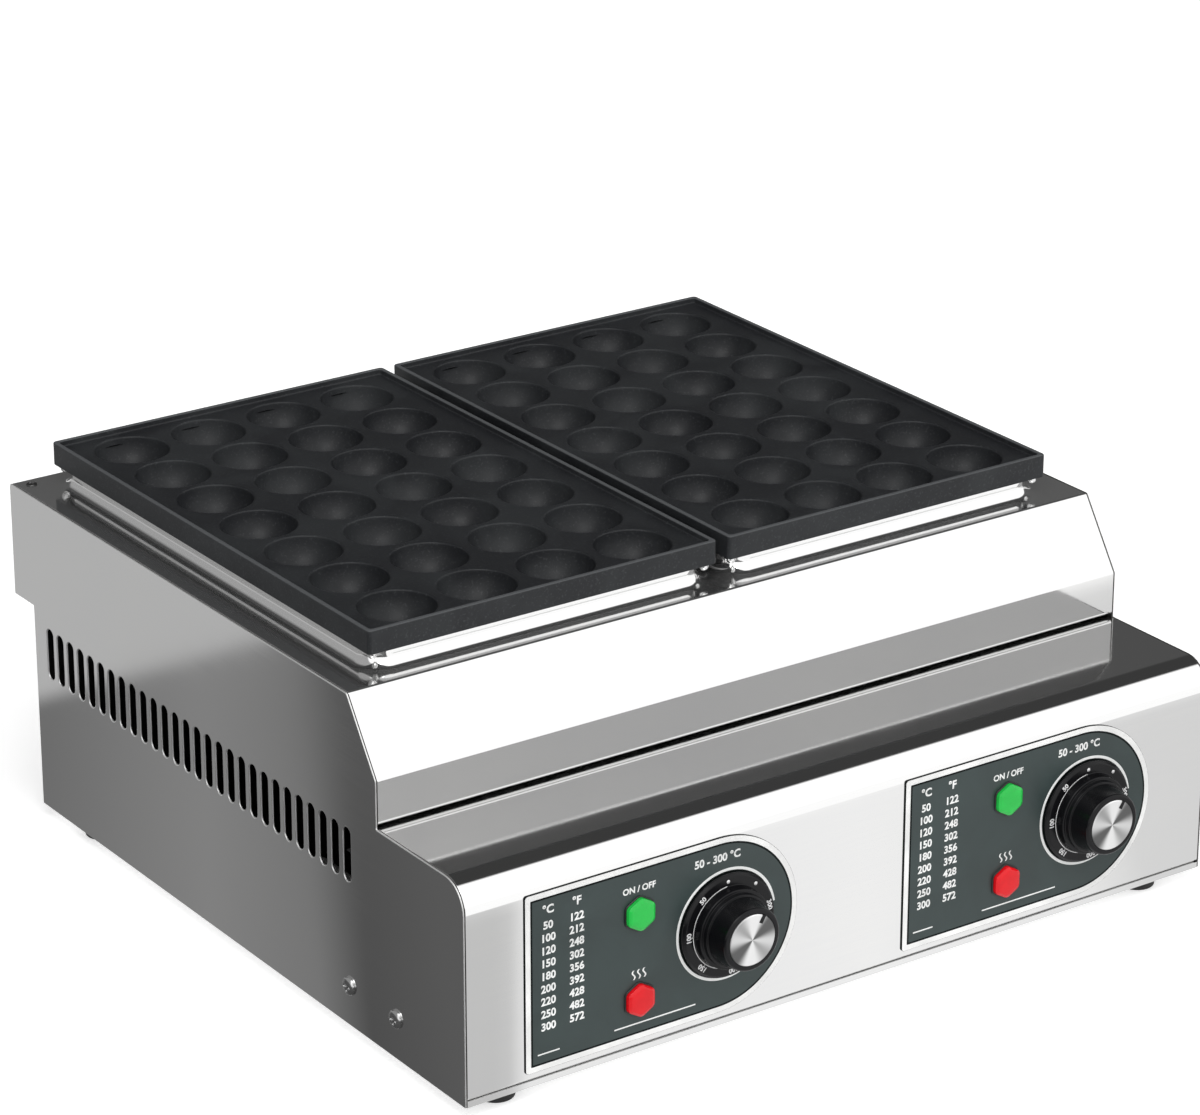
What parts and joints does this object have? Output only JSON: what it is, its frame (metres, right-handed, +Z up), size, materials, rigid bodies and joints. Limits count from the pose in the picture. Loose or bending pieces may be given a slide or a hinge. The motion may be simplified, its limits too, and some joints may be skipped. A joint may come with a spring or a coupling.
{
  "type": "takoyaki maker",
  "caption": "Countertop takoyaki maker: sloped stainless casing, lift-off cast plates of round cups over tubular heaters, thermostat dials and indicator lamps.",
  "frame": {"origin": "on the ground, under the middle of the whole object's box", "axes": "+X to the right seen from the front, +Y from the control panel to the rear, +Z up"},
  "size_m": [0.4444, 0.44, 0.2005],
  "materials": {
    "stainless": "fine brushed stainless sheet",
    "inner_steel": "plain bright sheet, heat-tinted inside",
    "element": "satin sheathed tube, heat-darkened",
    "fastener": "bright steel",
    "plate_coating": "cast aluminium with a dark matte release coating",
    "peg_steel": "bright steel",
    "green_panel": "dark green printed overlay on sheet, satin",
    "dial_black": "glossy black moulding",
    "dial_cap": "spun aluminium disc",
    "lens_green": "clear green lens",
    "lens_red": "clear red lens",
    "lamp_black": "black moulding",
    "thermostat_body": "dark phenolic moulding",
    "shaft_steel": "turned steel",
    "copper_tube": "drawn copper tube and bulb",
    "gland_black": "black nylon",
    "brass": "plain brass",
    "ceramic": "white glazed ceramic",
    "rubber": "black rubber"
  },
  "bodies": {
    "casing": {"top_housing": "stainless", "front_panel": "stainless", "rear_panel": "stainless", "base_pan": "stainless", "element_nuts": "brass", "thermostat_screws": "fastener", "gland_locknuts": "gland_black", "earth_stud": "brass", "terminal_block": "ceramic", "terminal_screws": "brass", "foot_screws": "fastener", "foot_nuts": "fastener", "side_screws": "fastener", "top_screws": "fastener", "rear_screws": "fastener", "front_left_foot": "rubber", "front_right_foot": "rubber", "rear_left_foot": "rubber", "rear_right_foot": "rubber", "left_side_panel": "stainless", "left_heat_tray": "inner_steel", "left_heating_element": "element", "left_element_brackets": "inner_steel", "left_capillary_bulb": "copper_tube", "left_thermostat": "thermostat_body", "left_control_plate": "green_panel", "left_power_lens": "lens_green", "left_heating_lens": "lens_red", "left_lamp_bodies": "lamp_black", "left_cable_gland": "gland_black", "right_side_panel": "stainless", "right_heat_tray": "inner_steel", "right_heating_element": "element", "right_element_brackets": "inner_steel", "right_capillary_bulb": "copper_tube", "right_thermostat": "thermostat_body", "right_control_plate": "green_panel", "right_power_lens": "lens_green", "right_heating_lens": "lens_red", "right_lamp_bodies": "lamp_black", "right_cable_gland": "gland_black"},
    "left_dial": {"left_dial_shaft": "shaft_steel", "left_knob": "dial_black", "left_knob_cap": "dial_cap"},
    "left_plate": {"left_mould_plate": "plate_coating", "left_plate_pegs": "peg_steel"},
    "right_dial": {"right_dial_shaft": "shaft_steel", "right_knob": "dial_black", "right_knob_cap": "dial_cap"},
    "right_plate": {"right_mould_plate": "plate_coating", "right_plate_pegs": "peg_steel"}
  },
  "joints": [
    {"name": "left_knob_turn", "type": "hinge", "parent": "casing", "child": "left_dial", "pos_m": [-0.0753, -0.2, 0.0605], "axis": [0, 1, 0], "range_deg": [0, 300]},
    {"name": "right_knob_turn", "type": "hinge", "parent": "casing", "child": "right_dial", "pos_m": [0.142, -0.2, 0.0605], "axis": [0, 1, 0], "range_deg": [0, 300]},
    {"name": "left_plate_lift", "type": "slide", "parent": "casing", "child": "left_plate", "axis": [0, 0, 1], "range_m": [0, 0.06]},
    {"name": "right_plate_lift", "type": "slide", "parent": "casing", "child": "right_plate", "axis": [0, 0, 1], "range_m": [0, 0.06]}
  ]
}
